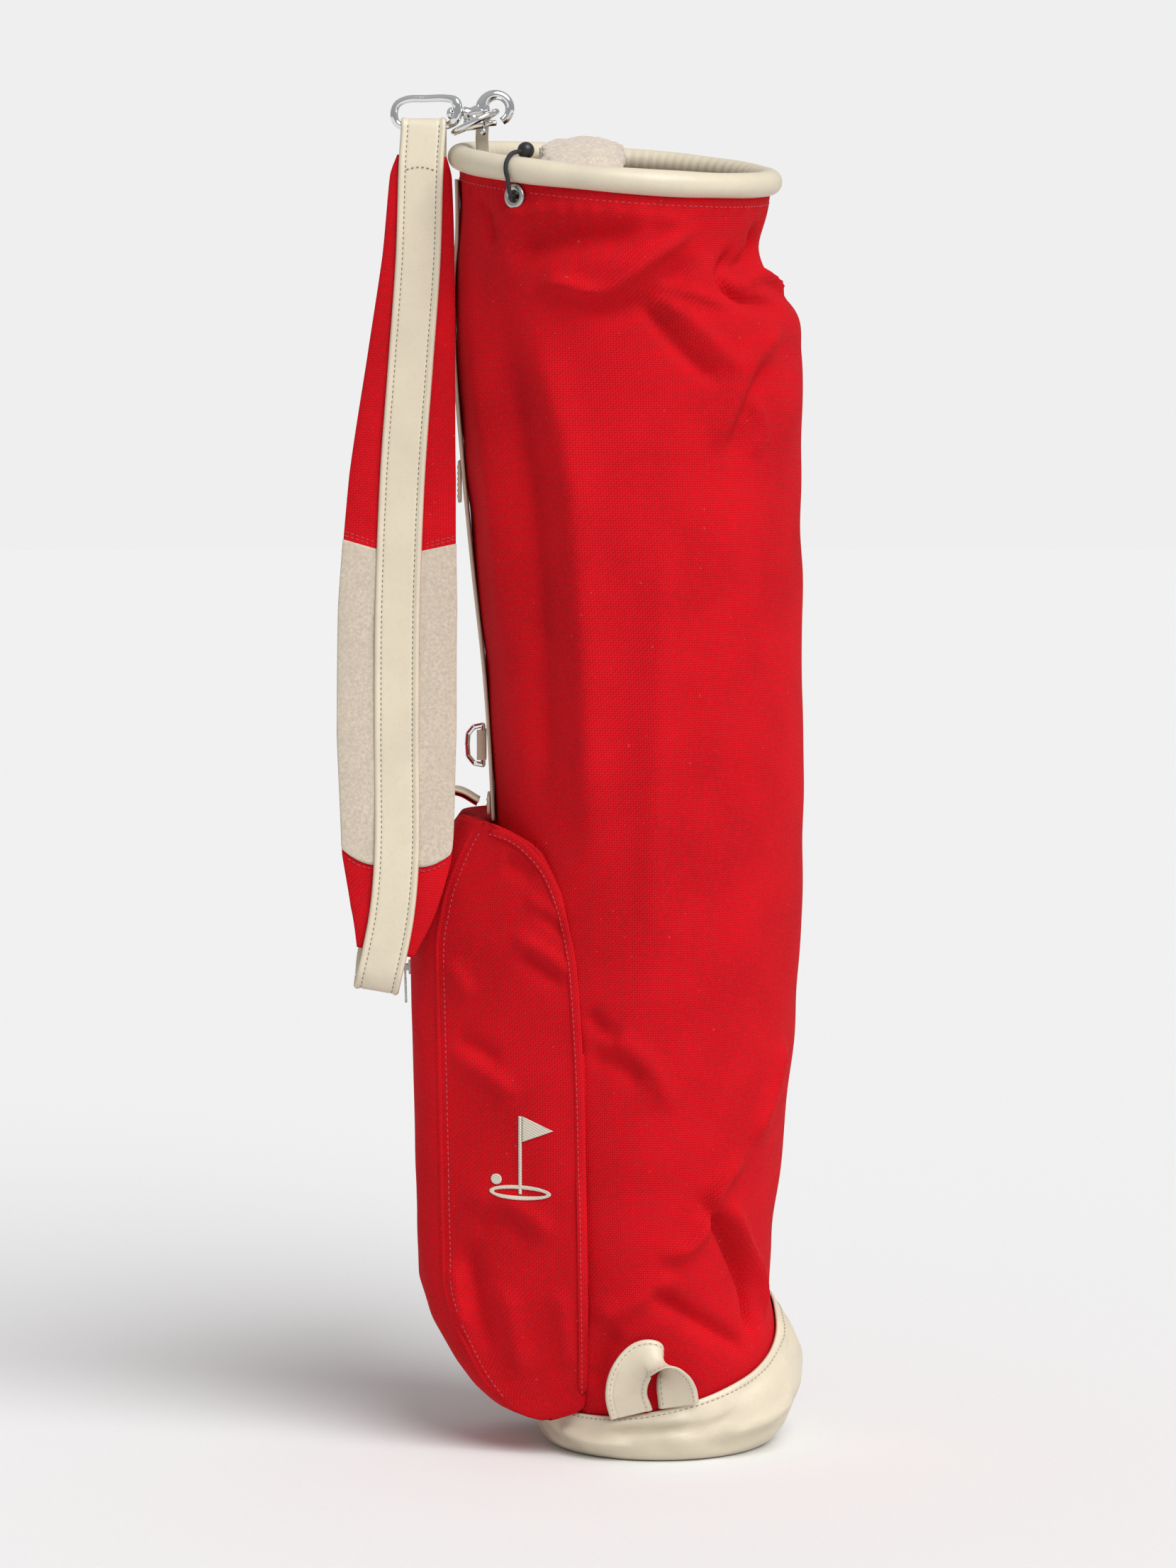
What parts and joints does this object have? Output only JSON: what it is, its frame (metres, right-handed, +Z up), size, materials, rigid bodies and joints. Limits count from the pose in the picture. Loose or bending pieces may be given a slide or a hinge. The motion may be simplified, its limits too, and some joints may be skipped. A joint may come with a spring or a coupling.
{
  "type": "golf bag",
  "caption": "Soft canvas carry bag for golf clubs with a padded rim, divided mouth, leather boot, zipped ball pouch and a clip-on padded shoulder strap.",
  "frame": {"origin": "the point on the floor under the leather boot, a few millimetres from the middle of its flat foot", "axes": "+Z up along the bag; +X towards the side away from the pouch; -Y towards the side that shows the emblem and the grab loop"},
  "size_m": [0.311, 0.2282, 0.9106],
  "materials": {
    "red_canvas": "woven red canvas, matt",
    "cream_leather": "smooth cream leather, satin",
    "suede": "cream suede, napped",
    "fleece": "cream fleece",
    "chrome": "polished plated",
    "nickel": "satin plated",
    "spring_steel": "drawn wire",
    "black_trim": "black woven tape and elastic",
    "black_plastic": "moulded",
    "board": "stiff board",
    "foam": "closed-cell foam",
    "base_plate": "dark painted steel weight plate"
  },
  "bodies": {
    "bag": {"rim_hoop": "spring_steel", "rim_foam": "foam", "rim_leather": "cream_leather", "tube_canvas": "red_canvas", "mouth_lining": "cream_leather", "spine_stay": "board", "spine_leather": "cream_leather", "divider_core": "foam", "divider_fleece": "fleece", "eyelet": "nickel", "elastic_cord": "black_trim", "cord_knot": "black_trim", "boot_leather": "cream_leather", "base_plate": "base_plate", "base_pad": "foam", "pouch_near": "red_canvas", "pouch_far": "red_canvas", "pouch_gusset": "red_canvas", "zip_tape_near": "black_trim", "zip_tape_far": "black_trim", "zip_teeth": "black_plastic", "zip_stop_top": "nickel", "zip_stop_bottom": "nickel", "ring_tab": "cream_leather", "strap_anchor": "cream_leather", "handle_patch_top": "cream_leather", "handle_patch_bottom": "cream_leather", "towel_tab": "cream_leather"},
    "strap": {"strap_leather": "cream_leather", "strap_pad_front": "red_canvas", "strap_pad_foam": "foam", "strap_pad_back": "red_canvas", "strap_patch_left": "suede", "strap_patch_right": "suede", "strap_leg_leather": "cream_leather", "strap_leg_canvas": "red_canvas"},
    "swivel_eye": {"snap_eye": "chrome"},
    "hook": {"snap_hook": "chrome"},
    "bolt": {"snap_bolt": "chrome"},
    "ring": {"top_ring": "chrome"},
    "handle": {"handle_outer": "cream_leather", "handle_core": "foam", "handle_inner": "cream_leather"},
    "towel_ring": {"towel_ring": "chrome"},
    "slider": {"zip_slider": "nickel"},
    "pull": {"zip_pull": "nickel"},
    "toggle": {"toggle_ball": "black_plastic"},
    "grab": {"grab_loop": "cream_leather"}
  },
  "joints": [
    {"name": "strap_swing", "type": "hinge", "parent": "bag", "child": "strap", "pos_m": [-0.1016, -0.014, 0.896], "axis": [0.0095, -0.0303, 0.9995], "range_deg": [0, 18]},
    {"name": "eye_tilt", "type": "hinge", "parent": "strap", "child": "swivel_eye", "pos_m": [-0.15, -0.014, 0.887], "axis": [1, 0, 0], "range_deg": [-10, 10]},
    {"name": "hook_swivel", "type": "hinge", "parent": "swivel_eye", "child": "hook", "pos_m": [-0.1278, -0.014, 0.8955], "axis": [1, 0, 0], "range_deg": [-25, 25]},
    {"name": "bolt_slide", "type": "slide", "parent": "hook", "child": "bolt", "axis": [-0.9942, 0, -0.1073], "range_m": [0, 0.007], "stiffness_N_per_m": 500},
    {"name": "ring_tilt", "type": "hinge", "parent": "bag", "child": "ring", "pos_m": [-0.11133, 0.00078, 0.89195], "axis": [0.8514, -0.3205, 0.4152], "range_deg": [-2, 0]},
    {"name": "handle_swing", "type": "hinge", "parent": "bag", "child": "handle", "pos_m": [-0.1355, 0, 0.728], "axis": [-0.0386, 0, 0.9993], "range_deg": [-55, 55], "stiffness_Nm_per_rad": 0.02},
    {"name": "towel_ring_swing", "type": "hinge", "parent": "bag", "child": "towel_ring", "pos_m": [-0.11172, 0, 0.4735], "axis": [0, 0, 1], "range_deg": [-70, 80]},
    {"name": "zip_slide", "type": "slide", "parent": "bag", "child": "slider", "axis": [0.0243, 0, -0.9997], "range_m": [0, 0.19]},
    {"name": "zip_pull_flip", "type": "hinge", "parent": "slider", "child": "pull", "pos_m": [-0.16459, 0, 0.32289], "axis": [0, 1, 0], "range_deg": [0, 150]},
    {"name": "toggle_pull", "type": "slide", "parent": "bag", "child": "toggle", "axis": [0.621, 0.7708, 0.1426], "range_m": [0, 0.007], "stiffness_N_per_m": 100},
    {"name": "grab_loop_fold", "type": "hinge", "parent": "bag", "child": "grab", "pos_m": [0.002, -0.0906, 0.0405], "axis": [1, 0, 0], "range_deg": [0, 60], "stiffness_Nm_per_rad": 0.02}
  ]
}
